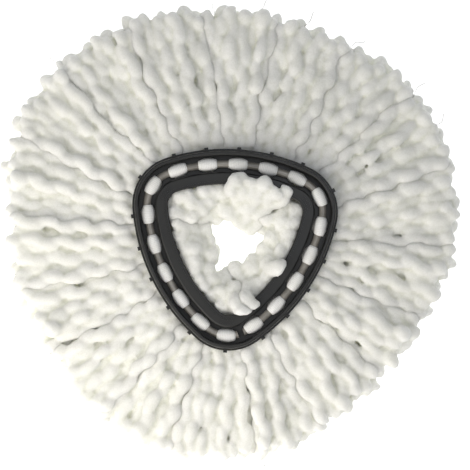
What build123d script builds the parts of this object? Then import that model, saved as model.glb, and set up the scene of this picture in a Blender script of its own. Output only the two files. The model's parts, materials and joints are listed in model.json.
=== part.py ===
"""Refill head of a spin mop.

A moulded triangular carrier ring lies on a bed of plush microfibre yarn. Eighteen yarn bundles are
pulled up through the ring's floor, folded over a retaining hoop, and spread again under the ring:
long strands outwards, short ones inwards. The long strands of each bundle swing about the edge of
the ring, from hanging straight down to being flung a little above level.

Frame: +Z up, origin on the floor below the ring's centre, one corner of the triangle towards -Y.
Units are millimetres. Offsets are measured from the line of the holes, outwards positive.
"""

import os
from math import atan2, cos, degrees, hypot, radians, sin, sqrt

from build123d import *

# --- Driving dimensions ---------------------------------------------------------------------------

tuft_count = 18
tufts_per_side = tuft_count // 3
spread_radius = 156.0  # the circle that the strand tips reach

# The line of the holes: a triangle with bowed sides and round corners.
side_reach = 51.0  # centre to the middle of a side
side_radius = 122.0  # bow of a side
corner_radius = 23.0

# Levels of the carrier ring.
ring_bottom = 22.0
floor_top = 24.4
land_top = 32.5
rim_top = 34.0

# Offsets across the carrier ring.
rim_outer_foot = 9.8
rim_outer_wall = 8.8  # above the foot flange, and before draft
rim_outer_top = 7.6
channel_outer = 5.2
channel_inner = -6.0
land_inner = -14.2
wall = 2.0
rim_round = 0.7
channel_round = 1.4  # land to channel
opening_round = 0.7  # land to opening
foot_height = 1.8
groove_outer = -12.1  # shallow line round the land, beside the opening
groove_inner = -12.9
groove_depth = 0.5
rib_thickness = 1.4

# Slots in the channel's floor, one for each yarn bundle.
slot_length = 13.0
slot_width = 9.6

# Lugs on the outside of the rim, and catches for the mop's base plate on the inside of the land.
lug_width = 2.6
lug_reach = 1.3
lug_height = 3.4
catch_length = 22.0
catch_reach = 0.9
catch_height = 1.8
catch_level = 25.2

# Round mould marks sunk in the land.
mark_outer = 1.8
mark_inner = 1.1
mark_depth = 0.45
mark_pitch = 5.6

# Retaining hoop.
hoop_radius = 2.5
hoop_offset = -0.5
hoop_level = floor_top + hoop_radius + 0.1
hoop_gap = 4.0
fit_gap = 0.1  # yarn to hoop

# Yarn loop: the fold of one bundle over the hoop.
loop_length = 11.8
loop_width = 8.8

# Long strands of one bundle, as one plain tapered pad.
hinge_reach = 13.0  # hole to swing axis, along the strands
root_radius = 10.0  # also the height of the swing axis
root_width = 18.0
tip_width = 30.0
tip_height = 13.0
tip_bow = 4.0  # how far the middle of the tip stands out past its corners
tip_round = 5.0

# Short strands of one bundle, as one plain wedge with a crown in the ring's opening.
inner_edge = -2.0
crown_edge = land_inner - catch_reach - 0.4
crown_top = 27.0
eye_radius = 13.5  # open eye left in the middle
wedge_gap = 0.4

# --- Geometry that follows ------------------------------------------------------------------------

arc_shift = side_radius - side_reach  # centre of a side's arc, behind the ring's centre
corner_shift = (sqrt(4 * (side_radius - corner_radius) ** 2 - 3 * arc_shift**2) - arc_shift) / 2
half_side = degrees(atan2(corner_shift * sin(radians(60)), arc_shift + corner_shift * cos(radians(60))))
half_corner = 60 - half_side
half_side_run = radians(half_side) * side_radius
half_corner_run = radians(half_corner) * corner_radius
pitch = 2 * (half_side_run + half_corner_run) / tufts_per_side
side_normals = (90, 210, 330)


def polar(radius, angle):
    """Point at a distance and an angle in degrees."""
    return radius * cos(radians(angle)), radius * sin(radians(angle))


def station(run, offset=0.0):
    """Point and outward angle, at a run from the middle of the first side, clockwise seen from above."""
    side = round(run / (pitch * tufts_per_side))
    run -= side * pitch * tufts_per_side
    normal = 90 - 120 * side
    sense = 1 if run >= 0 else -1
    if abs(run) <= half_side_run:
        turn = degrees(abs(run) / side_radius)
        centre, radius = polar(-arc_shift, normal), side_radius + offset
    else:
        turn = half_side + degrees((abs(run) - half_side_run) / corner_radius)
        centre, radius = polar(corner_shift, normal - sense * 60), corner_radius + offset
    angle = normal - sense * turn
    x, y = polar(radius, angle)
    return (centre[0] + x, centre[1] + y), angle


def bowed_triangle(offset):
    """Face inside the line that runs at an offset from the hole line."""
    with BuildSketch() as face:
        with BuildLine():
            for normal in side_normals:
                side_centre = polar(-arc_shift, normal)
                corner_centre = polar(corner_shift, normal + 60)
                CenterArc(side_centre, side_radius + offset, normal - half_side, 2 * half_side)
                CenterArc(corner_centre, corner_radius + offset, normal + half_side, 2 * half_corner)
        make_face()
    return face.sketch


def band(outer, inner, level):
    """Strip between two offsets, at a level."""
    with BuildSketch(Plane.XY.offset(level)) as strip:
        add(bowed_triangle(outer))
        add(bowed_triangle(inner), mode=Mode.SUBTRACT)
    return strip.sketch


def station_plane(point, angle, level=0.0):
    """Level plane at a station whose X points outwards."""
    return Plane(origin=(*point, level), x_dir=(*polar(1, angle), 0), z_dir=(0, 0, 1))


def build_carrier_ring():
    rim_height = rim_top - ring_bottom
    draft = degrees(atan2(rim_outer_wall - rim_outer_top, rim_height))
    with BuildPart() as ring:
        with BuildSketch(Plane.XY.offset(ring_bottom)):
            add(bowed_triangle(rim_outer_wall))
        extrude(amount=rim_height, taper=draft)
        with BuildSketch(Plane.XY.offset(ring_bottom)):
            add(bowed_triangle(rim_outer_foot))
        extrude(amount=foot_height)
        with BuildSketch(Plane.XY.offset(land_top)):
            add(bowed_triangle(channel_outer))
        extrude(amount=rim_height, mode=Mode.SUBTRACT)
        extrude(band(channel_outer, channel_inner, floor_top), amount=rim_height, mode=Mode.SUBTRACT)
        with BuildSketch(Plane.XY.offset(ring_bottom)):
            add(bowed_triangle(land_inner))
        extrude(amount=rim_height, mode=Mode.SUBTRACT)

        rim_face = ring.faces().filter_by(Axis.Z).sort_by(Axis.Z)[-1]
        fillet(rim_face.edges(), radius=rim_round)
        for outer_edge, round_radius in ((True, channel_round), (False, opening_round)):
            land_face = ring.faces().filter_by(Plane.XY).group_by(Axis.Z)[-2][0]
            wire = land_face.outer_wire() if outer_edge else land_face.inner_wires()[0]
            fillet(wire.edges(), radius=round_radius)
        extrude(band(groove_outer, groove_inner, land_top), amount=-groove_depth, mode=Mode.SUBTRACT)

        # The land is a hollow box, open below and ribbed between the bundles.
        extrude(
            band(channel_inner - wall, land_inner + wall, ring_bottom),
            amount=land_top - wall - ring_bottom,
            mode=Mode.SUBTRACT,
        )
        for k in range(tuft_count):
            point, angle = station((k + 0.5) * pitch, (channel_inner + land_inner) / 2)
            with BuildSketch(station_plane(point, angle, ring_bottom)):
                Rectangle(channel_inner - land_inner - wall, rib_thickness)
            extrude(amount=land_top - wall / 2 - ring_bottom)

        for k in range(tuft_count):
            point, angle = station(k * pitch, hoop_offset)
            with BuildSketch(station_plane(point, angle, ring_bottom)):
                SlotOverall(slot_length, slot_width, rotation=90)
            extrude(amount=floor_top - ring_bottom, mode=Mode.SUBTRACT)
            point, angle = station(k * pitch, rim_outer_foot)
            with BuildSketch(station_plane(point, angle, ring_bottom)):
                Rectangle(2 * lug_reach, lug_width)
            extrude(amount=lug_height)

        for side in range(3):
            point, angle = station(side * tufts_per_side * pitch, land_inner)
            with BuildSketch(station_plane(point, angle, catch_level)):
                Rectangle(2 * catch_reach, catch_length)
            extrude(amount=catch_height)

            corner = (side + 0.5) * tufts_per_side * pitch
            for step in (-1, 0, 1):
                point, angle = station(corner + step * mark_pitch, (channel_inner + land_inner) / 2)
                with BuildSketch(station_plane(point, angle, land_top)):
                    Circle(mark_outer)
                    Circle(mark_inner, mode=Mode.SUBTRACT)
                extrude(amount=-mark_depth, mode=Mode.SUBTRACT)
    ring.part.label = "carrier_ring"
    return ring.part


def hoop_body(radius):
    """Round bar of the given radius along the retaining hoop's line, closed all the way round."""
    with BuildPart() as hoop:
        for normal in side_normals:
            for centre, bend, start, turn in (
                (polar(-arc_shift, normal), side_radius, normal - half_side, 2 * half_side),
                (polar(corner_shift, normal + 60), corner_radius, normal + half_side, 2 * half_corner),
            ):
                x, y = polar(1, start)
                section = Plane(origin=(*centre, hoop_level), x_dir=(x, y, 0), z_dir=(y, -x, 0))
                with BuildSketch(section):
                    with Locations((bend + hoop_offset, 0)):
                        Circle(radius)
                revolve(axis=Axis((*centre, 0), (0, 0, 1)), revolution_arc=turn)
    return hoop.part


def build_retaining_hoop():
    # The ends meet between the bundle at the front corner and the next one on the right.
    point, angle = station((tuft_count / 2 - 0.5) * pitch, hoop_offset)
    with BuildPart() as hoop:
        add(hoop_body(hoop_radius))
        with BuildSketch(station_plane(point, angle, hoop_level)):
            Rectangle(4 * hoop_radius, hoop_gap)
        extrude(amount=2 * hoop_radius, both=True, mode=Mode.SUBTRACT)
    hoop.part.label = "retaining_hoop"
    return hoop.part


def build_yarn_loop(run, bore):
    point, angle = station(run, hoop_offset)
    plane = station_plane(point, angle)
    profile = Plane(origin=plane.origin, x_dir=plane.x_dir, z_dir=-plane.y_dir)
    half = loop_width / 2
    with BuildPart() as loop:
        with BuildSketch(profile):
            with BuildLine():
                Polyline((-half, hoop_level), (-half, ring_bottom), (half, ring_bottom), (half, hoop_level))
                ThreePointArc((half, hoop_level), (0, hoop_level + half), (-half, hoop_level))
            make_face()
        extrude(amount=loop_length / 2, both=True)
        with BuildSketch(plane):
            SlotOverall(loop_length, loop_width, rotation=90)
        extrude(amount=rim_top, mode=Mode.INTERSECT)
        add(bore, mode=Mode.SUBTRACT)
    return loop.part


def build_outer_tuft(run):
    """Long strands of one bundle, and where they swing: solid, swing point and heading."""
    point, _ = station(run)
    aim = 90 - 360 * run / (pitch * tuft_count)
    tip = polar(spread_radius, aim)
    heading = degrees(atan2(tip[1] - point[1], tip[0] - point[0]))
    shift = polar(hinge_reach, heading)
    hinge = (point[0] + shift[0], point[1] + shift[1])
    reach = hypot(tip[0] - hinge[0], tip[1] - hinge[1])
    plane = station_plane(hinge, heading)
    profile = Plane(origin=plane.origin, x_dir=plane.x_dir, z_dir=-plane.y_dir)
    with BuildPart() as tuft:
        with BuildSketch(profile):
            with BuildLine():
                ThreePointArc((0, 2 * root_radius), (-root_radius, root_radius), (0, 0))
                Polyline((0, 0), (reach, 0), (reach, tip_height), (0, 2 * root_radius))
            make_face()
        extrude(amount=tip_width / 2, both=True)
        with BuildSketch(plane):
            with BuildLine():
                Polyline(
                    (reach - tip_bow, -tip_width / 2),
                    (0, -root_width / 2),
                    (-root_radius, -root_width / 2),
                    (-root_radius, root_width / 2),
                    (0, root_width / 2),
                    (reach - tip_bow, tip_width / 2),
                )
                ThreePointArc(
                    (reach - tip_bow, tip_width / 2),
                    (reach, 0),
                    (reach - tip_bow, -tip_width / 2),
                )
            make_face()
        extrude(amount=2 * root_radius, mode=Mode.INTERSECT)
        corners = tuft.edges().filter_by(Axis.Z).filter_by(lambda edge: edge.length < root_radius * 1.5)
        fillet(corners, radius=tip_round)
    return tuft.part, hinge, heading


def build_inner_tuft(run):
    """Short strands of one bundle: a wedge from under the hole line to the open eye."""
    left, _ = station(run - pitch / 2)
    right, _ = station(run + pitch / 2)
    rays = [degrees(atan2(y, x)) for x, y in (left, right)]
    far = 2 * side_reach
    spread = radians((rays[0] - rays[1]) % 360) / 2
    middle = rays[1] + degrees(spread)
    start = polar(wedge_gap / 2 / sin(spread), middle)
    ends = [polar(far, ray) for ray in rays]

    def wedge(outer, level):
        with BuildSketch(Plane.XY.offset(level)) as face:
            add(bowed_triangle(outer))
            Circle(eye_radius, mode=Mode.SUBTRACT)
            with BuildLine():
                Polyline(
                    start,
                    (start[0] + ends[1][0], start[1] + ends[1][1]),
                    (start[0] + ends[0][0], start[1] + ends[0][1]),
                    start,
                )
            make_face(mode=Mode.INTERSECT)
        return face.sketch

    with BuildPart() as tuft:
        extrude(wedge(inner_edge, 0), amount=ring_bottom)
        extrude(wedge(crown_edge, ring_bottom), amount=crown_top - ring_bottom)
    return tuft.part


def main():
    os.makedirs("parts", exist_ok=True)
    pieces = [build_carrier_ring(), build_retaining_hoop()]
    bore = hoop_body(hoop_radius + fit_gap)
    for k in range(tuft_count):
        run = k * pitch
        loop = build_yarn_loop(run, bore)
        loop.label = f"yarn_loop_{k + 1:02d}"
        outer, hinge, heading = build_outer_tuft(run)
        outer.label = f"outer_tuft_{k + 1:02d}"
        inner = build_inner_tuft(run)
        inner.label = f"inner_tuft_{k + 1:02d}"
        pieces += [loop, outer, inner]
        print(f"tuft {k + 1:02d} swings at ({hinge[0]:.3f}, {hinge[1]:.3f}, {root_radius}) heading {heading:.3f}")
    for piece in pieces:
        export_step(piece, f"parts/{piece.label}.step")


main()
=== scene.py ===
import json
import math

import bpy
import numpy as np
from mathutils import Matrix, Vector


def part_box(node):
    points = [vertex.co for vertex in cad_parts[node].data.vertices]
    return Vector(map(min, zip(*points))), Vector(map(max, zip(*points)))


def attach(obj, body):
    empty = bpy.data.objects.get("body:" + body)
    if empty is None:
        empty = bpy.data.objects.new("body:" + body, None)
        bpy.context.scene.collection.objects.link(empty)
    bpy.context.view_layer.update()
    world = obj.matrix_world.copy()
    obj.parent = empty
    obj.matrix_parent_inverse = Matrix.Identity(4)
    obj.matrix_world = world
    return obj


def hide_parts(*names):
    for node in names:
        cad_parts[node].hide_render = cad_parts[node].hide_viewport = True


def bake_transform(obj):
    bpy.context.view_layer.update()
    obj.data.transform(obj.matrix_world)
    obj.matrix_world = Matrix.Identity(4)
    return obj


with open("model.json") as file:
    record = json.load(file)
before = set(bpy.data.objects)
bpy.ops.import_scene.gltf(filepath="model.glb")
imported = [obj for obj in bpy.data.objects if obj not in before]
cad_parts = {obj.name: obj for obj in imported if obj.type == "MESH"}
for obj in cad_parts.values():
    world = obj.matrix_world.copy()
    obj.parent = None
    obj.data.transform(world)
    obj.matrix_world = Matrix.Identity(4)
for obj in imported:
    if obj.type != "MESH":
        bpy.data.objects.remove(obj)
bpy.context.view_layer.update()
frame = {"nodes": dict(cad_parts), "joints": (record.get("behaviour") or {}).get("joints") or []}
rng = np.random.default_rng(318)
mm = 0.001
up = np.array([0.0, 0.0, 1.0])

# places come from the frame; from here on they are in millimetres
joints = sorted(frame["joints"], key=lambda joint: joint["name"])
tuftCount = len(joints)
tuftStep = 360 / tuftCount
hinges = np.array([joint["pos_m"] for joint in joints]) / mm
headings = np.cross(up, np.array([joint["axis"] for joint in joints]))
loopBoxes = [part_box("yarn_loop_%02d" % (k + 1)) for k in range(tuftCount)]
loopSpots = np.array([(low + high) / 2 for low, high in loopBoxes]) / mm
hoopLow, hoopHigh = (np.array(corner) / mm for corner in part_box("retaining_hoop"))
print("frame loaded: %d bundles" % tuftCount)

# the hole line is a triangle with bowed sides and round corners; offsets from it are positive outwards
ringLine = {
    "sideReach": 51.0,  # middle of the ring to the middle of a side
    "sideRadius": 122.0,
    "cornerRadius": 23.0,
    "cornerSpread": 1.3,  # how wide a corner's round opens, sideways for each millimetre outwards
    "landEdge": -14.2,
    "landTop": 32.5,
}


def unit(vectors):
    # each vector divided by its own length
    return vectors / np.linalg.norm(vectors, axis=-1, keepdims=True)


def polar(radius, degrees):
    # x and y of a distance and a direction: the radius times the cosine and the sine
    turn = np.radians(degrees)
    return np.stack([radius * np.cos(turn), radius * np.sin(turn)], axis=-1)


def level(vectors):
    # the same vectors laid flat
    return vectors * np.array([1.0, 1.0, 0.0])


def around(spots, place):
    # smooth closed curve through the spots: Catmull-Rom, the place counted in spots
    step = np.floor(place).astype(int)
    t = (place - step)[..., None]
    a, b, c, d = (spots[(step + k) % len(spots)] for k in (-1, 0, 1, 2))
    return 0.5 * (2 * b + (c - a) * t + (2 * a - 5 * b + 4 * c - d) * t**2 + (3 * b - a - 3 * c + d) * t**3)


def offsetFromLine(points):
    # signed distance from the hole line: the greatest distance past the bow of a side, or, for a point that
    # faces a corner, the distance past the corner's round
    shift = ringLine["sideRadius"] - ringLine["sideReach"]
    gap = ringLine["sideRadius"] - ringLine["cornerRadius"]
    cornerShift = (math.sqrt(4 * gap**2 - 3 * shift**2) - shift) / 2
    flat = points[..., :2]
    best = np.full(flat.shape[:-1], -1e9)
    for normal in (90, 210, 330):
        toSide = np.linalg.norm(flat + polar(shift, normal), axis=-1) - ringLine["sideRadius"]
        best = np.maximum(best, toSide)
    for corner in (30, 150, 270):
        ahead = polar(1.0, corner)
        rest = flat - polar(cornerShift, corner)
        across = np.abs(rest[..., 0] * ahead[1] - rest[..., 1] * ahead[0])
        inCorner = (rest @ ahead > 0) & (across < ringLine["cornerSpread"] * (rest @ ahead))
        toCorner = np.linalg.norm(rest, axis=-1) - ringLine["cornerRadius"]
        best = np.where(inCorner, toCorner, best)
    return best


def reachTo(offset, degrees):
    # distance from the middle to a line at an offset, in one direction, looked for in tenths of a millimetre
    radius = np.linspace(25, 85, 601)
    return radius[np.argmax(offsetFromLine(polar(radius, degrees)) > offset)]


def splinePoints(paths, places):
    # uniform cubic B-spline along each path, its ends held; places run from 0 to 1
    first = 2 * paths[:, :1] - paths[:, 1:2]
    last = 2 * paths[:, -1:] - paths[:, -2:-1]
    points = np.concatenate([first, paths, last], axis=1)
    spans = paths.shape[1] - 1
    x = np.clip(places * spans, 0, spans - 1e-6)
    i = x.astype(int)
    t = (x - i)[None, :, None]
    a, b, c, d = (points[:, i + k] for k in range(4))
    weights = ((1 - t) ** 3, 3 * t**3 - 6 * t**2 + 4, -3 * t**3 + 3 * t**2 + 3 * t + 1, t**3)
    return sum(w * p for w, p in zip(weights, (a, b, c, d))) / 6


yarn = {
    "lobePitch": 9.8,  # one lobe to the next; they lean to one side of the strand and the other by turns
    "lobeHalf": 8.0,
    "lobeRadius": 4.2,
    "lobeShift": 1.4,
    "blunt": 0.22,  # how much fatter a lobe is at its inner end than in its middle
    "twist": 3.0,  # degrees round the strand for each millimetre along a lobe
    "lump": 0.09,
    "crease": 16,  # the higher, the sharper the crease between two lobes
    "roundCount": 24,
    "ringStep": 1.2,
    "capSteps": 6,
    "lobeUneven": (0.12, 0.07, 22),  # spread of the lobes' places, lengths and directions in degrees
    "leanUneven": 25,  # spread of the strands' own directions
    "lastLobe": 1.5,  # the last lobe's middle is this far into the end dome, so the tip is one round lobe
    "floorGap": 0.2,
}


def lobeSurface(along, turn):
    # Distance of the surface from the strand's middle line. A strand is a row of overlapping egg-shaped
    # lobes, each a circle whose radius follows a blunt half ellipse along the strand and whose centre
    # stands off the line, towards opposite sides by turns. Their union is the root of the sum of their
    # distances to a high power, which leaves a soft crease where two lobes meet.
    tables = rng.normal(0, 1, (4, 211))
    first = rng.integers(0, tables.shape[1], (len(along), 1, 1))
    lean = rng.normal(0, yarn["leanUneven"], (len(along), 1, 1))
    placeUneven, lengthUneven, turnUneven = yarn["lobeUneven"]
    total = 0
    for step in (-1, 0, 1, 2):
        index = np.floor(along / yarn["lobePitch"]).astype(int) + step
        place, length, size, side = tables[:, (index + first) % tables.shape[1]]
        centre = (index + placeUneven * place) * yarn["lobePitch"]
        reach = (along - centre) / (yarn["lobeHalf"] * (1 + lengthUneven * length))
        radius = yarn["lobeRadius"] * (1 + yarn["lump"] * size) * (1 - yarn["blunt"] * reach)
        radius = radius * np.sqrt(np.clip(1 - np.abs(reach) ** 2.2, 0, 1))
        twist = yarn["twist"] * (along - centre)
        toward = np.radians(180 * index + lean + turnUneven * side + twist)
        c = np.cos(turn - toward)
        inside = radius**2 - yarn["lobeShift"] ** 2 * (1 - c**2)
        surface = np.where(inside > 0, yarn["lobeShift"] * c + np.sqrt(np.maximum(inside, 0)), 0)
        total = total + np.maximum(surface, 0) ** yarn["crease"]
    return total ** (1 / yarn["crease"])


def ringWays(centre, sideways, turn):
    # unit vectors round each point of a middle line, square to it: cosine along the side, sine along the top
    ahead = unit(np.gradient(centre, axis=1))
    side = unit(sideways[:, None] - (sideways[:, None] * ahead).sum(-1, keepdims=True) * ahead)
    above = np.cross(ahead, side)
    return np.cos(turn)[:, None] * side[:, :, None] + np.sin(turn)[:, None] * above[:, :, None]


def strands(paths, sideways, thickness):
    # rings of points round each middle line, spaced evenly, with a round dome at each end: the radius is
    # the lobes' own, times the strand's thickness, times the dome's cosine
    length = np.linalg.norm(np.diff(paths, axis=1), axis=2).sum(1).mean()
    cap = yarn["lobeRadius"]
    bend = np.linspace(0, np.pi / 2, yarn["capSteps"] + 1)[1:-1]
    middle = np.linspace(cap, length - cap, int(round((length - 2 * cap) / yarn["ringStep"])) + 1)
    s = np.concatenate([cap * (1 - np.sin(bend[::-1])), middle, length - cap * (1 - np.sin(bend))])
    dome = np.concatenate([np.cos(bend[::-1]), np.ones(len(middle)), np.cos(bend)])
    turn = np.linspace(0, 2 * np.pi, yarn["roundCount"], endpoint=False)
    lastLobe = yarn["lobePitch"] * rng.integers(20, 60, (len(paths), 1, 1)) - yarn["lastLobe"]
    along = s[None, :, None] - (length - cap) + lastLobe
    surface = lobeSurface(along, turn)
    thick = splinePoints(thickness[..., None], s / length)
    centre = splinePoints(paths, s / length)
    away = surface * thick * dome[:, None]
    grid = centre[:, :, None] + away[..., None] * ringWays(centre, sideways, turn)
    return grid, splinePoints(paths, np.zeros(1)), splinePoints(paths, np.ones(1))


def closedTubes(name, bundles):
    # rings joined by quads and closed at both ends by fans of triangles, one tube after another in one mesh
    vertices, quads, fans = [], [], []
    total = 0
    for grid, firstPole, lastPole in bundles:
        count, rings, sides = grid.shape[:3]
        each = rings * sides + 2
        i, j = np.meshgrid(np.arange(rings - 1), np.arange(sides), indexing="ij")
        k = (j + 1) % sides
        near, far = i * sides, (i + 1) * sides
        quad = np.stack([near + j, near + k, far + k, far + j], -1).reshape(-1, 4)
        ring = np.arange(sides)
        after = (ring + 1) % sides
        last = (rings - 1) * sides
        firstFan = np.stack([np.full(sides, each - 2), after, ring], -1)
        lastFan = np.stack([np.full(sides, each - 1), last + ring, last + after], -1)
        shift = total + (np.arange(count) * each)[:, None, None]
        quads.append((quad[None] + shift).ravel())
        fans.append((np.concatenate([firstFan, lastFan])[None] + shift).ravel())
        tubes = np.concatenate([grid.reshape(count, -1, 3), firstPole, lastPole], axis=1)
        vertices.append(tubes.reshape(-1, 3))
        total += count * each
    vertices, quads, fans = (np.concatenate(part) for part in (vertices, quads, fans))
    mesh = bpy.data.meshes.new(name)
    mesh.vertices.add(len(vertices))
    mesh.vertices.foreach_set("co", (vertices * mm).astype(np.float32).ravel())
    mesh.loops.add(len(quads) + len(fans))
    mesh.loops.foreach_set("vertex_index", np.concatenate([quads, fans]).astype(np.int32))
    starts = np.concatenate([np.arange(0, len(quads), 4), len(quads) + np.arange(0, len(fans), 3)])
    mesh.polygons.add(len(starts))
    mesh.polygons.foreach_set("loop_start", starts.astype(np.int32))
    mesh.update(calc_edges=True)
    mesh.polygons.foreach_set("use_smooth", np.ones(len(starts), bool))
    piece = bpy.data.objects.new(name, mesh)
    bpy.context.scene.collection.objects.link(piece)
    return piece


skin = {
    "voxel": 1.1,
    "easing": 0.5,
    "lumpWaves": (2.8, 7.0),  # shortest and longest wave
    "waveCount": 24,
    "evenRounds": 2,
    "hollowDepth": 0.09,  # a hollow this deep beside its neighbours takes the full painted crease shade
}


def plushSkin(name, bundles, look):
    # The pile of strands that touch tangles into one skin: the tubes are joined by voxels and the creases
    # eased, then the skin is lumped along its normals by a sum of plane waves in random directions. How far
    # each point lies below the mean of its neighbours, evened out, is kept as the attribute "creaseShade",
    # which darkens the creases with painted shade.
    piece = closedTubes(name, bundles)
    joined = piece.modifiers.new("joined", "REMESH")
    joined.mode, joined.voxel_size = "VOXEL", skin["voxel"] * mm
    eased = piece.modifiers.new("eased", "SMOOTH")
    eased.factor, eased.iterations = skin["easing"], look["easeRounds"]
    mesh = bpy.data.meshes.new_from_object(piece.evaluated_get(bpy.context.evaluated_depsgraph_get()))
    piece.modifiers.clear()
    loose = piece.data
    piece.data = mesh
    bpy.data.meshes.remove(loose)
    mesh.name = name

    count = len(mesh.vertices)
    spots, normals = np.empty(count * 3, np.float32), np.empty(count * 3, np.float32)
    mesh.vertices.foreach_get("co", spots)
    mesh.vertex_normals.foreach_get("vector", normals)
    spots, normals = spots.reshape(-1, 3) / mm, normals.reshape(-1, 3)
    waves = unit(rng.normal(0, 1, (skin["waveCount"], 3))) * 2 * np.pi
    waves = waves / rng.uniform(*skin["lumpWaves"], (skin["waveCount"], 1))
    lumps = np.cos(spots @ waves.T + rng.uniform(0, 2 * np.pi, skin["waveCount"])).sum(1)
    spots += normals * (look["lump"] * lumps * math.sqrt(2 / skin["waveCount"]))[:, None]
    spots[:, 2] = np.maximum(spots[:, 2], yarn["floorGap"])  # pressed flat where it rests on the floor
    mesh.vertices.foreach_set("co", (spots * mm).astype(np.float32).ravel())

    ends = np.empty(len(mesh.edges) * 2, np.int32)
    mesh.edges.foreach_get("vertices", ends)
    ends = ends.reshape(-1, 2)
    mine, theirs = np.concatenate([ends, ends[:, ::-1]]).T
    share = 1 / np.bincount(mine, minlength=count)
    means = np.stack([np.bincount(mine, spots[theirs, axis], count) * share for axis in range(3)], axis=1)
    hollow = sum((means[:, axis] - spots[:, axis]) * normals[:, axis] for axis in range(3))
    for _ in range(skin["evenRounds"]):
        hollow = (hollow + np.bincount(mine, hollow[theirs], count) * share) / 2
    keepCreaseShade(mesh, hollow / skin["hollowDepth"])
    return dressed(piece, chenilleYarn)


def keepCreaseShade(mesh, creaseShade):
    # how deep each point lies in a crease, from 0 to 1, which the yarn's colour reads as painted shade
    layer = mesh.attributes.new("creaseShade", "FLOAT", "POINT")
    layer.data.foreach_set("value", np.clip(creaseShade, 0, 1).astype(np.float32))
    mesh.update()
    mesh.polygons.foreach_set("use_smooth", np.ones(len(mesh.polygons), bool))


def dressed(piece, material):
    # the piece in its yarn
    piece.data.materials.clear()
    piece.data.materials.append(material)
    return piece


def toLinear(colour):
    # sRGB hex to linear: a straight line near black and a power of 2.4 above it
    channels = [int(colour[k : k + 2], 16) / 255 for k in (1, 3, 5)]
    return tuple(v / 12.92 if v <= 0.04045 else ((v + 0.055) / 1.055) ** 2.4 for v in channels) + (1.0,)


def addNode(tree, kind, settings=(), inputs=(), stops=()):
    # settings are the node's own properties, an input is a value or another node's output, and stops are
    # a ramp's colours
    node = tree.nodes.new(kind)
    for key, value in dict(settings).items():
        setattr(node, key, value)
    for key, value in dict(inputs).items():
        if isinstance(value, bpy.types.NodeSocket):
            tree.links.new(value, node.inputs[key])
        else:
            node.inputs[key].default_value = value
    for index, (place, colour) in enumerate(stops):
        element = node.color_ramp.elements[index]
        element.position, element.color = place, toLinear(colour)
    return node


def startMaterial(name):
    material = bpy.data.materials.new(name)
    material.use_nodes = True
    material.node_tree.nodes.clear()
    return material, material.node_tree


def finishMaterial(tree, shader):
    addNode(tree, "ShaderNodeOutputMaterial", inputs={"Surface": shader.outputs[0]})


chenille = {
    "crest": "#f9f9f4",
    "shade": "#f3f3ed",
    # painted shade: the colour the skin takes where it lies deep in a crease
    "crease": "#e4e5db",
    "creaseShadeDepth": 0.5,
    "cloudSize": 14.0,
    "pileSize": 0.9,
    "pileHeight": 0.35,
    "softness": 0.85,
    "lightDepth": 6.0,  # how far light soaks into the pile
}

# the loops are the same yarn pulled tight: whiter, denser and less soft
drawn = {
    **chenille,
    "crest": "#ffffff",
    "shade": "#fafaf6",
    # painted shade in the grooves of the fine lines that run over the loops
    "crease": "#d5d6cb",
    "softness": 0.2,
    "lightDepth": 2.0,
}

# one pulled fibre is white, but thin and letting the light through it looks grey on a pale ground; its grey
# colour is painted shade
pulledShadedGrey = {**chenille, "crest": "#b9bab5", "shade": "#a9aaa5", "softness": 0.0}


def makeYarn(name, look):
    # Polyester microfibre chenille, cut pile twisted into two plies: matt and soft-edged, and light soaks
    # into the pile. The creases between the lobes are a little deeper in colour: painted shade. Real fibres
    # are far too fine to show, so the pile's grain is drawn as coarse as it needs to be seen.
    material, tree = startMaterial(name)
    place = addNode(tree, "ShaderNodeTexCoord").outputs["Object"]
    creaseShade = addNode(tree, "ShaderNodeAttribute", {"attribute_name": "creaseShade"}).outputs["Fac"]
    clouds = addNode(
        tree,
        "ShaderNodeTexNoise",
        inputs={"Vector": place, "Scale": 1 / (look["cloudSize"] * mm), "Detail": 3.0, "Roughness": 0.55},
    )
    body = addNode(
        tree,
        "ShaderNodeValToRGB",
        inputs={"Fac": clouds.outputs["Fac"]},
        stops=((0.3, look["shade"]), (0.62, look["crest"])),
    )
    pile = addNode(
        tree,
        "ShaderNodeTexNoise",
        inputs={"Vector": place, "Scale": 1 / (look["pileSize"] * mm), "Detail": 4.0, "Roughness": 0.65},
    )
    # the creases are darkened towards the crease colour, which is painted shade
    creaseShadeAmount = addNode(tree, "ShaderNodeMath", {"operation": "MULTIPLY"}, {0: creaseShade, 1: look["creaseShadeDepth"]})
    creaseShaded = addNode(
        tree,
        "ShaderNodeMix",
        {"data_type": "RGBA"},
        {"Factor": creaseShadeAmount.outputs[0], "A": body.outputs["Color"], "B": toLinear(look["crease"])},
    )
    speckle = addNode(
        tree,
        "ShaderNodeValToRGB",
        inputs={"Fac": pile.outputs["Fac"]},
        stops=((0.3, "#e6e6e2"), (0.6, "#ffffff")),
    )
    colour = addNode(
        tree,
        "ShaderNodeMix",
        {"data_type": "RGBA", "blend_type": "MULTIPLY"},
        {"Factor": 0.5, "A": creaseShaded.outputs["Result"], "B": speckle.outputs["Color"]},
    )
    bump = addNode(
        tree,
        "ShaderNodeBump",
        inputs={"Height": pile.outputs["Fac"], "Distance": look["pileHeight"] * mm, "Strength": 0.6},
    )
    shader = addNode(
        tree,
        "ShaderNodeBsdfPrincipled",
        inputs={
            "Base Color": colour.outputs["Result"],
            "Roughness": 0.95,
            "Specular IOR Level": 0.12,
            "Subsurface Weight": look["softness"],
            "Subsurface Radius": (1.0, 1.0, 1.0),
            "Subsurface Scale": look["lightDepth"] * mm,
            "Sheen Weight": 0.25,
            "Sheen Roughness": 0.6,
            "Normal": bump.outputs["Normal"],
        },
    )
    finishMaterial(tree, shader)
    return material


ringPlastic = {
    "dark": "#0f1011",
    "pale": "#191a18",
    "cloudSize": 22.0,
    "grainSize": 0.5,
    "grainHeight": 0.05,
    "gloss": (0.34, 0.5),  # least and greatest roughness
}


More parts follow.
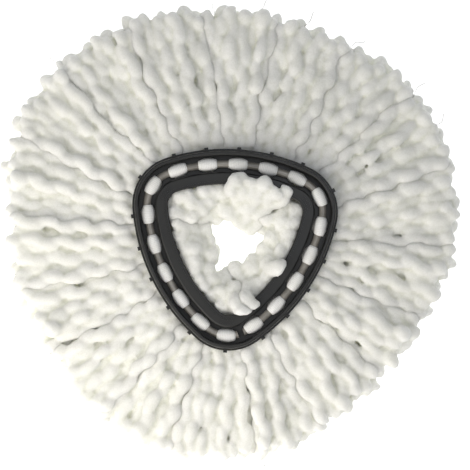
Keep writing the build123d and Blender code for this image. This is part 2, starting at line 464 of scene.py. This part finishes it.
def makeRingPlastic():
    # Injection-moulded polypropylene, charcoal: satin from the mould's fine texture, with a gloss that is
    # uneven from handling
    material, tree = startMaterial("mouldedCharcoalPolypropylene")
    place = addNode(tree, "ShaderNodeTexCoord").outputs["Object"]
    clouds = addNode(
        tree,
        "ShaderNodeTexNoise",
        inputs={"Vector": place, "Scale": 1 / (ringPlastic["cloudSize"] * mm), "Detail": 4.0},
    )
    body = addNode(
        tree,
        "ShaderNodeValToRGB",
        inputs={"Fac": clouds.outputs["Fac"]},
        stops=((0.3, ringPlastic["dark"]), (0.7, ringPlastic["pale"])),
    )
    grain = addNode(
        tree,
        "ShaderNodeTexNoise",
        inputs={
            "Vector": place,
            "Scale": 1 / (ringPlastic["grainSize"] * mm),
            "Detail": 3.0,
            "Roughness": 0.6,
        },
    )
    glossy, satin = ringPlastic["gloss"]
    gloss = addNode(
        tree,
        "ShaderNodeMapRange",
        inputs={
            "Value": clouds.outputs["Fac"],
            "From Min": 0.3,
            "From Max": 0.7,
            "To Min": glossy,
            "To Max": satin,
        },
    )
    bump = addNode(
        tree,
        "ShaderNodeBump",
        inputs={"Height": grain.outputs["Fac"], "Distance": ringPlastic["grainHeight"] * mm, "Strength": 0.5},
    )
    shader = addNode(
        tree,
        "ShaderNodeBsdfPrincipled",
        inputs={
            "Base Color": body.outputs["Color"],
            "Roughness": gloss.outputs["Result"],
            "IOR": 1.49,
            "Normal": bump.outputs["Normal"],
        },
    )
    finishMaterial(tree, shader)
    return material


hoopPlastic = {"dark": "#686661", "pale": "#9a968f", "cloudSize": 9.0}


def makeHoopPlastic():
    # Extruded smoke-grey nylon rod: glossy, a little cloudy
    material, tree = startMaterial("extrudedSmokeNylon")
    place = addNode(tree, "ShaderNodeTexCoord").outputs["Object"]
    clouds = addNode(
        tree,
        "ShaderNodeTexNoise",
        inputs={"Vector": place, "Scale": 1 / (hoopPlastic["cloudSize"] * mm), "Detail": 3.0},
    )
    body = addNode(
        tree,
        "ShaderNodeValToRGB",
        inputs={"Fac": clouds.outputs["Fac"]},
        stops=((0.3, hoopPlastic["dark"]), (0.7, hoopPlastic["pale"])),
    )
    shader = addNode(
        tree,
        "ShaderNodeBsdfPrincipled",
        inputs={"Base Color": body.outputs["Color"], "Roughness": 0.3, "IOR": 1.53, "Coat Weight": 0.2},
    )
    finishMaterial(tree, shader)
    return material


def makeFloor():
    # White card, lit from within so that the object stands on a clean ground
    material, tree = startMaterial("whiteCard")
    shader = addNode(
        tree,
        "ShaderNodeBsdfPrincipled",
        inputs={
            "Base Color": toLinear("#fdfdfd"),
            "Roughness": 0.9,
            "Emission Color": toLinear("#ffffff"),
            "Emission Strength": 0.75,
        },
    )
    finishMaterial(tree, shader)
    return material


chenilleYarn = makeYarn("chenilleMicrofibreYarn", chenille)
drawnYarn = makeYarn("drawnMicrofibreYarn", drawn)
pulledFibreShadedGrey = makeYarn("pulledPolyesterFibrePaintedGrey", pulledShadedGrey)
print("materials made")


def keepLengths(points, lengths, fixed):
    # each stretch is brought back to its own length, the fixed points staying put
    free = (~fixed).astype(float)[..., None]
    for odd in (0, 1):
        pairs = (points.shape[1] - odd) // 2
        firsts = slice(odd, odd + 2 * pairs, 2)
        seconds = slice(odd + 1, odd + 1 + 2 * pairs, 2)
        gap = points[:, seconds] - points[:, firsts]
        size = np.linalg.norm(gap, axis=-1, keepdims=True) + 1e-9
        pull = gap * (1 - lengths[:, odd::2][:, :pairs, None] / size)
        share = np.maximum(free[:, firsts] + free[:, seconds], 1e-6)
        points[:, firsts] += pull * free[:, firsts] / share
        points[:, seconds] -= pull * free[:, seconds] / share


def pushApart(points, others, reach):
    # points of one strand and another closer than reach move apart, half each
    gap = points[:, :, None] - others[:, None]
    size = np.linalg.norm(gap, axis=-1) + 1e-6
    move = (np.clip(reach - size, 0, None) / size * 0.5)[..., None] * gap
    return move.sum(2), -move.sum(1)


outer = {
    "perTuft": 14,
    "pointCount": 17,
    "heldPoints": 4,  # the first points stay where they are, under the ring
    "padding": 0.2,
    "bunching": 0.045,  # strands gather in loose bunches, by this share of the step between bundles
    "middle": (-4.8, 7.6),  # the fan of yarn lies a little off the ring's middle
    "tipReach": 153.0,
    "trefoil": 6.0,  # the strands are equally long, so they reach furthest from the ring's corners
    "trefoilTurn": 24.0,
    "tipUneven": 2.4,
    "tipLimits": (-5, 4.5),
    "upperShort": 2.0,  # the upper layers end this far short of the lower ones
    "rootOffset": -3.0,
    "bendOffset": 6.0,  # how far past the swing axis the strands run level
    "blendReach": (6.0, 16.0),  # two distances from the ring, in millimetres
    "rootHeights": (4.9, 8.2, 12.2, 16.6),  # four layers, from the floor up
    "tipHeights": (4.3, 4.3, 10.6, 11.4),
    "rootThickness": (0.72, 0.76, 0.90, 1.0),
    "rounds": 150,
    "neighbours": 11,  # how many strands away two strands can still touch
    "squeeze": 0.86,  # how close two strands come, as a share of their thickness
    "squeezeNext": 0.70,  # the same for strands of two bundles, which sink deeper into one another
    "fallPerRound": 0.10,
    "moveLimit": 1.2,
    "straighten": 0.12,
    "homing": 0.03,
    "tipFlare": 0.14,  # the pile opens out towards the cut end
    "easeRounds": 3,
    "lump": 0.06,
}


def outerPaths():
    # Strands lie side by side in four layers at the ring, which thin out to two at the tips, the upper ones
    # over the gaps of the lower. Each starts as a quadratic curve from under its hole, past the edge of the
    # ring, to its tip, and sways across it in a sine.
    count = tuftCount * outer["perTuft"]
    place = np.arange(count) / outer["perTuft"] + rng.uniform(-0.02, 0.02, count)
    layer = np.array([3, 0, 2, 1])[np.arange(count) % 4]
    root, rim = around(loopSpots, place), around(hinges, place)
    ahead = unit(level(rim - root))
    bunch = outer["bunching"] * np.sin(2 * np.pi * place / 0.9 + 2.3 * np.sin(place * 1.7))
    towards = 90 - tuftStep * (place + bunch + rng.normal(0, 0.018, count))
    reach = outer["tipReach"] + outer["trefoil"] * np.cos(3 * np.radians(towards - outer["trefoilTurn"]))
    reach = reach + np.clip(rng.normal(0, outer["tipUneven"], count), *outer["tipLimits"])
    reach = reach - outer["upperShort"] * (layer > 1)
    tip = polar(reach, towards) + np.array(outer["middle"])
    rootHeight = np.array(outer["rootHeights"])[layer]
    tipHeight = np.array(outer["tipHeights"])[layer] + rng.normal(0, 0.5, count)
    start = np.column_stack([root[:, :2] + ahead[:, :2] * outer["rootOffset"], rootHeight])
    bend = np.column_stack([rim[:, :2] + ahead[:, :2] * outer["bendOffset"], rootHeight])
    end = np.column_stack([tip, tipHeight])
    t = np.linspace(0, 1, outer["pointCount"])[None, :, None]
    knee = 0.6 * bend + 0.2 * (start + end)
    line = (1 - t) ** 2 * start[:, None] + 2 * t * (1 - t) * knee[:, None] + t**2 * end[:, None]
    across = np.cross(up, unit(level(end - start)))
    wave = np.sin(t[..., 0] * rng.uniform(4, 9, (count, 1)) + rng.uniform(0, 6.3, (count, 1)))
    sway = rng.uniform(0.4, 1.8, (count, 1)) * wave * np.minimum(t[..., 0] * 2.5, 1)
    thickness = np.array(outer["rootThickness"])[layer][:, None]
    thickness = thickness + (1 - thickness) * np.clip(t[..., 0] / 0.55, 0, 1) ** 0.8
    thickness = thickness * (1 + outer["tipFlare"] * t[..., 0] ** 3)
    return place, line + across[:, None] * sway[..., None], thickness * rng.uniform(0.97, 1.07, (count, 1))


def settleOuter(points, thickness, owner):
    # strands sink, push one another apart, straighten a little and keep their lengths, over and over
    fixed = np.zeros(points.shape[:2], bool)
    fixed[:, : outer["heldPoints"]] = True
    home = points.copy()
    lengths = np.linalg.norm(np.diff(points, axis=1), axis=2)
    radius = thickness * (yarn["lobeRadius"] + outer["padding"])
    lowest = radius * 0.95
    for _ in range(outer["rounds"]):
        points[..., 2] -= outer["fallPerRound"]
        move = np.zeros_like(points)
        for shift in range(1, outer["neighbours"] + 1):
            mates = (owner == np.roll(owner, -shift))[:, None, None]
            reach = np.where(mates, outer["squeeze"], outer["squeezeNext"])
            reach = reach * (radius[:, :, None] + np.roll(radius, -shift, axis=0)[:, None])
            mine, theirs = pushApart(points, np.roll(points, -shift, axis=0), reach)
            move += mine + np.roll(theirs, shift, axis=0)
        points += np.clip(move, -outer["moveLimit"], outer["moveLimit"])
        points[:, 1:-1] += outer["straighten"] * (points[:, :-2] + points[:, 2:] - 2 * points[:, 1:-1])
        points[..., :2] += outer["homing"] * (home - points)[..., :2]
        points[..., 2] = np.maximum(points[..., 2], lowest)
        points[fixed] = home[fixed]
        keepLengths(points, lengths, fixed)
        points[..., 2] = np.maximum(points[..., 2], lowest)
    points[fixed] = home[fixed]
    return points


stray = {
    "count": 8,
    "perTuft": 2,
    "radius": 0.22,
    "length": (6.0, 15.0),
    "curl": 2.2,
    "pointCount": 22,
    "sides": 5,
}


def strayFibres(tips, outward):
    # single pulled fibres that stand off the tips: a line that rises a little and curls in a widening sine
    count = len(tips)
    t = np.linspace(0, 1, stray["pointCount"])[None, :, None]
    length = rng.uniform(*stray["length"], (count, 1, 1))
    across = np.cross(up, outward)
    ahead = unit(outward + across * rng.uniform(-0.9, 0.9, (count, 1)))
    curl = stray["curl"] * t * np.sin(t * rng.uniform(3, 8, (count, 1, 1)) + rng.uniform(0, 6, (count, 1, 1)))
    centre = tips[:, None] + ahead[:, None] * length * t + np.cross(up, ahead)[:, None] * curl
    centre = centre + up * t * rng.uniform(-2, 3, (count, 1, 1))
    turn = np.linspace(0, 2 * np.pi, stray["sides"], endpoint=False)
    grid = centre[:, :, None] + stray["radius"] * ringWays(centre, np.repeat(up[None], count, 0), turn)
    return grid, centre[:, :1], centre[:, -1:]


place, line, thickness = outerPaths()
owner = np.round(place).astype(int) % tuftCount
line = settleOuter(line, thickness, owner)
print("outer strands settled")

for k, joint in enumerate(joints):
    mine = np.flatnonzero(owner == k)
    number = "%02d" % (k + 1)
    outward = unit(level(line[mine, -1] - line[mine, 0]))
    bundle = strands(line[mine], np.cross(up, outward), thickness[mine])
    piece = plushSkin("outerYarn_" + number, [bundle], outer)
    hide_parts("outer_tuft_" + number)
    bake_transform(piece)
print("outer yarn made")

for number, k in enumerate(rng.choice(tuftCount, stray["count"], replace=False)):
    mine = rng.choice(np.flatnonzero(owner == k), stray["perTuft"], replace=False)
    fibres = strayFibres(line[mine, -1], unit(level(line[mine, -1])))
    piece = closedTubes("strayFibre_%02d" % (number + 1), [fibres])
    keepCreaseShade(piece.data, np.zeros(len(piece.data.vertices)))
    dressed(piece, pulledFibreShadedGrey)
    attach(piece, joints[k]["child"])
print("stray fibres made")

inner = {
    "perTuft": 8,
    "pointCount": 12,
    "heldPoints": 2,
    "rounds": 90,
    "squeeze": 0.93,
    "eyeMiddle": (0.5, -3.0),
    "eyeRadius": 18.8,
    "eyePoints": ((3, 12, 3.7), (5, 20, 2.0)),  # waves round the eye: how many, turn and height
    "underLand": 16.6,  # how high a strand may rise under the land
    "highest": 29.0,
    "lowest": 4.6,
    "moveLimit": 0.8,
    "straighten": 0.10,
    "homing": 0.08,
    "thickness": (1.04, 1.3),  # at the ring and at the tip
    # for each kind of strand: how far it reaches towards the eye, and its heights at the distances below
    "distances": (0, 12, 19, 27, 38),
    "kinds": (
        (1.00, (14.0, 15.5, 23.5, 20.0, 10.0)),
        (1.00, (5.5, 5.2, 5.2, 5.2, 5.0)),
        (0.62, (16.0, 16.6, 25.0, 26.0, 22.0)),
        (1.00, (12.0, 14.0, 17.0, 15.0, 8.0)),
        (0.50, (16.6, 16.6, 25.0, 28.0, 28.0)),
        (0.95, (8.5, 8.5, 10.5, 10.0, 6.5)),
        (0.82, (15.0, 16.4, 24.0, 23.0, 15.0)),
    ),
    "edgeCount": 34,  # strand ends that stand up all along the land's inner edge
    "overTop": 4.4,  # how far above the land the strands over it lie
    # the tips that lie over the land: direction, and how far past its edge
    "overLand": ((93, 7.5), (85, 9), (75, 5.5), (66, 9.5), (53, 3), (44, 6), (289, 5), (280, 3), (330, 2)),
    "easeRounds": 7,
    "lump": 0.15,
}


def eyeEdge(degrees):
    # the eye is a rough star: a circle whose radius rises and falls in cosine waves
    turn = np.radians(degrees)
    star = 0
    for waves, peak, height in inner["eyePoints"]:
        star = star + height * np.cos(waves * (turn - math.radians(peak)))
    return inner["eyeRadius"] + star


def innerPaths():
    # Short strands run inwards under the land, rise beside its edge and slope down to the eye; others fill
    # in below. Heights go straight from one given distance to the next.
    count = tuftCount * inner["perTuft"]
    place = np.arange(count) / inner["perTuft"] + rng.uniform(-0.05, 0.05, count)
    root = around(loopSpots, place)[:, :2]
    middle = np.array(inner["eyeMiddle"])
    degrees = np.degrees(np.arctan2(*(root - middle).T[::-1])) + rng.normal(0, 2.5, count)
    edge = middle + polar(eyeEdge(degrees), degrees)
    kind = np.arange(count) % len(inner["kinds"])
    share = np.array([share for share, _ in inner["kinds"]])[kind]
    run = share * np.linalg.norm(edge - root, axis=1) + rng.normal(0, 0.8, count)
    inward = unit(edge - root)
    t = np.linspace(0, 1, inner["pointCount"])
    going = (run[:, None] + 1.0) * t - 1.0
    heights = [np.interp(d, inner["distances"], inner["kinds"][which][1]) for d, which in zip(going, kind)]
    heights = np.array(heights) + rng.normal(0, 0.6, (count, 1)) * (t > 0.4)
    across = np.stack([-inward[:, 1], inward[:, 0]], axis=1)
    sway = rng.normal(0, 1.4, (count, 1)) * t**2 + rng.uniform(-1.2, 1.2, (count, 1)) * np.sin(t * 7)
    flat = root[:, None] + inward[:, None] * going[..., None] + across[:, None] * sway[..., None]
    return np.concatenate([flat, heights[..., None]], axis=2)


def settleInner(points):
    # all the short strands push one another apart, straighten a little, are drawn back home and keep their
    # lengths, over and over
    fixed = np.zeros(points.shape[:2], bool)
    fixed[:, : inner["heldPoints"]] = True
    home = points.copy()
    lengths = np.linalg.norm(np.diff(points, axis=1), axis=2)
    strand = np.repeat(np.arange(len(points)), points.shape[1])
    apart = strand[:, None] != strand[None]
    reach = 2 * inner["squeeze"] * yarn["lobeRadius"]
    for _ in range(inner["rounds"]):
        flat = points.reshape(-1, 3)
        gap = flat[:, None] - flat[None]
        size = np.linalg.norm(gap, axis=-1) + 1e-6
        push = np.where(apart, np.clip(reach - size, 0, None) / size * 0.5, 0)
        move = np.clip((push[..., None] * gap).sum(1), -inner["moveLimit"], inner["moveLimit"])
        points += move.reshape(points.shape)
        points[:, 1:-1] += inner["straighten"] * (points[:, :-2] + points[:, 2:] - 2 * points[:, 1:-1])
        points += inner["homing"] * (home - points)
        underLand = offsetFromLine(points) > ringLine["landEdge"] - 2.0
        highest = np.where(underLand, inner["underLand"], inner["highest"])
        points[..., 2] = np.clip(points[..., 2], inner["lowest"], highest)
        points[fixed] = home[fixed]
        keepLengths(points, lengths, fixed)
    return points


def risingPaths():
    # Strands that come out from under the land and rise beside its edge. Most end there, near the land's
    # own height; some lie back over it. Each is a row of distances from the middle, worked out from the
    # hole line and the land's edge, and a row of heights.
    paths = []
    top = ringLine["landTop"] + inner["overTop"]
    for k in range(inner["edgeCount"]):
        turn = 360 * (k + rng.uniform(-0.3, 0.3)) / inner["edgeCount"]
        hole, edge = reachTo(0.0, turn), reachTo(ringLine["landEdge"], turn)
        tip = rng.uniform(-3.4, -1.8)
        away = np.array([hole - 4, edge + 6, edge - 1, edge - 5, edge - 5, edge - 4, edge + tip])
        height = np.array([14.0, 15.5, 16.5, 19.0, 23.0, 27.5, 31.0 + rng.uniform(-1.5, 1.0)])
        paths.append(np.column_stack([polar(away, turn), height]))
    for turn, lie in inner["overLand"]:
        hole, edge = reachTo(0.0, turn), reachTo(ringLine["landEdge"], turn)
        away = np.append(hole - 4, edge + np.array([6, -1, -7, -9, -7, -2.5, 1, lie]))
        height = np.array([14.0, 15.5, 16.5, 20.0, 25.5, 31.0, top - 0.4, top, top - 0.3])
        paths.append(np.column_stack([polar(away, turn), height]))
    return paths


innerLines = list(settleInner(innerPaths())) + risingPaths()
print("inner strands settled")

# all the inner yarn stands still on the ring and tangles into one mass, made as one piece for each side
starts = np.array([path[0, :2] for path in innerLines])
innerPlace = (90 - np.degrees(np.arctan2(starts[:, 1], starts[:, 0]))) / tuftStep
innerOwner = np.round(innerPlace).astype(int) % tuftCount
sides = 3
for side in range(sides):
    tufts = (np.arange(tuftCount // sides) + side * tuftCount // sides - 3) % tuftCount
    bundles = []
    for member in np.flatnonzero(np.isin(innerOwner, tufts)):
        path = innerLines[member][None]
        sideways = np.cross(up, unit(level(path[:, 1] - path[:, 0])))
        swell = np.linspace(*inner["thickness"], path.shape[1])[None] * rng.uniform(0.94, 1.04)
        bundles.append(strands(path, sideways, swell))
    piece = plushSkin("innerYarn_%02d" % (side + 1), bundles, inner)
    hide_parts(*["inner_tuft_%02d" % (k + 1) for k in tufts])
    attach(piece, "carrier")
    print("inner yarn %d made, %d faces" % (side + 1, len(piece.data.polygons)))

loop = {
    "halfLength": 6.4,
    "halfWidth": 4.2,
    "endRadius": 2.4,  # just inside the hoop's skin
    "endPower": 0.55,  # 0.5 makes the ends an ellipse, more makes them slimmer
    "foot": 22.2,
    "alongCount": 58,
    "roundCount": 36,
    "fibrePitch": 1.15,  # fine lines that run over the hoop
    "fibreDepth": 0.014,
    "squareness": 2.4,  # 2 makes the legs' outline round, more makes it squarer
}


def makeLoop(k):
    # A saddle over the hoop: an arch-shaped outline, half circle above and a squared superellipse below,
    # carried along the channel and drawn in to the hoop's skin at both ends. Fine lines run over it, with
    # painted shade in their grooves.
    spot = around(loopSpots, np.array([k - 0.02, k + 0.02]))
    along = unit(level(spot[1] - spot[0]))
    outward = np.cross(up, along)
    outward = outward * np.sign(outward @ headings[k])
    hoopHeight = (hoopLow[2] + hoopHigh[2]) / 2
    v = np.sin(np.linspace(-np.pi / 2, np.pi / 2, loop["alongCount"] + 2)[1:-1])[:, None]
    angle = np.linspace(0, 2 * np.pi, loop["roundCount"], endpoint=False)[None]
    size = (1 - v**2) ** loop["endPower"]
    lines = np.cos(2 * np.pi * v * loop["halfLength"] / loop["fibrePitch"] + rng.uniform(0, 6))
    size = size * (1 + 0.04 * np.sin(3 * v + k))
    radius = loop["endRadius"] + (loop["halfWidth"] - loop["endRadius"]) * size
    radius = radius * (1 + loop["fibreDepth"] * lines)
    leg = loop["endRadius"] + (hoopHeight - loop["foot"] - loop["endRadius"]) * size
    x, z = np.cos(angle), np.sin(angle)
    power = loop["squareness"]
    square = (np.abs(x) ** power + np.abs(z) ** power) ** (-1 / power)
    above = z > 0
    across = np.where(above, x, x * square) * radius
    height = np.where(above, z * radius, z * square * leg)
    base = np.array([*loopSpots[k][:2], hoopHeight])
    forward = v * loop["halfLength"]
    grid = base + across[..., None] * outward + height[..., None] * up + forward[..., None] * along
    if np.cross(outward, up) @ along < 0:
        grid = grid[:, ::-1]
    poles = [(base + along * loop["halfLength"] * sign)[None, None] for sign in (-1, 1)]
    number = "%02d" % (k + 1)
    piece = closedTubes("loopYarn_" + number, [(grid[None], *poles)])
    # the lines' grooves, where the radius dips, take painted shade
    creaseShade = np.broadcast_to(-0.7 * lines, grid.shape[:2]).ravel()
    keepCreaseShade(piece.data, np.append(creaseShade, [0, 0]))
    dressed(piece, drawnYarn)
    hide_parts("yarn_loop_" + number)
    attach(piece, "carrier")


for k in range(tuftCount):
    makeLoop(k)
print("loops made")

# the ring and the hoop keep their own shapes
for node, material in (("carrier_ring", makeRingPlastic()), ("retaining_hoop", makeHoopPlastic())):
    materials = frame["nodes"][node].data.materials
    materials.clear()
    materials.append(material)

# a lamp is its place, width, power and colour, in metres and watts; it points at the middle of the floor
stage = {
    "floorHalf": 2.5,
    "sky": "#f4f7fa",
    "skyStrength": 0.20,
    "key": ((-0.26, -0.36, 0.40), 0.8, 3.7, "#fffaf2"),
    "fill": ((0.3, 0.4, 1.5), 0.9, 5.0, "#f8faff"),
}


def makeStage():
    # one level square under everything
    half = stage["floorHalf"]
    corners = [(-half, -half, 0), (half, -half, 0), (half, half, 0), (-half, half, 0)]
    mesh = bpy.data.meshes.new("floor")
    mesh.from_pydata(corners, [], [(0, 1, 2, 3)])
    floor = bpy.data.objects.new("floor", mesh)
    bpy.context.scene.collection.objects.link(floor)
    floor.data.materials.append(makeFloor())


def addLamp(name):
    spot, size, power, colour = stage[name]
    data = bpy.data.lights.new(name, "AREA")
    data.shape = "DISK"
    data.size = size
    data.energy = power
    data.color = toLinear(colour)[:3]
    lamp = bpy.data.objects.new(name, data)
    lamp.location = spot
    lamp.rotation_euler = (-lamp.location).to_track_quat("-Z", "Y").to_euler()
    lamp.visible_camera = False
    bpy.context.scene.collection.objects.link(lamp)


view = {
    "lens": 135.0,
    "sensor": 36.0,
    "fieldWidth": 318.7,  # how much the picture spans at the aim's height
    "roll": 4.0,
    "aim": (1.42, 2.98),
    "aimHeight": 14.0,
}


def makeCamera():
    # straight down and rolled a little; its height is the field's width times the lens over the sensor
    data = bpy.data.cameras.new("camera")
    data.lens = view["lens"]
    data.sensor_width = view["sensor"]
    data.clip_start, data.clip_end = 0.05, 20
    camera = bpy.data.objects.new("camera", data)
    bpy.context.scene.collection.objects.link(camera)
    distance = view["fieldWidth"] * data.lens / data.sensor_width
    turn = math.radians(view["roll"])
    x, y = view["aim"]
    aim = (x * math.cos(turn) - y * math.sin(turn), x * math.sin(turn) + y * math.cos(turn))
    camera.location = (aim[0] * mm, aim[1] * mm, (distance + view["aimHeight"]) * mm)
    camera.rotation_euler = (0, 0, turn)
    bpy.context.scene.camera = camera


def makeLight():
    world = bpy.data.worlds.new("studio")
    world.use_nodes = True
    background = world.node_tree.nodes["Background"]
    background.inputs["Color"].default_value = toLinear(stage["sky"])
    background.inputs["Strength"].default_value = stage["skyStrength"]
    bpy.context.scene.world = world
    addLamp("key")
    addLamp("fill")
    bpy.context.scene.view_settings.view_transform = "Standard"


makeStage()
makeLight()
makeCamera()
print("stage, light and camera set")
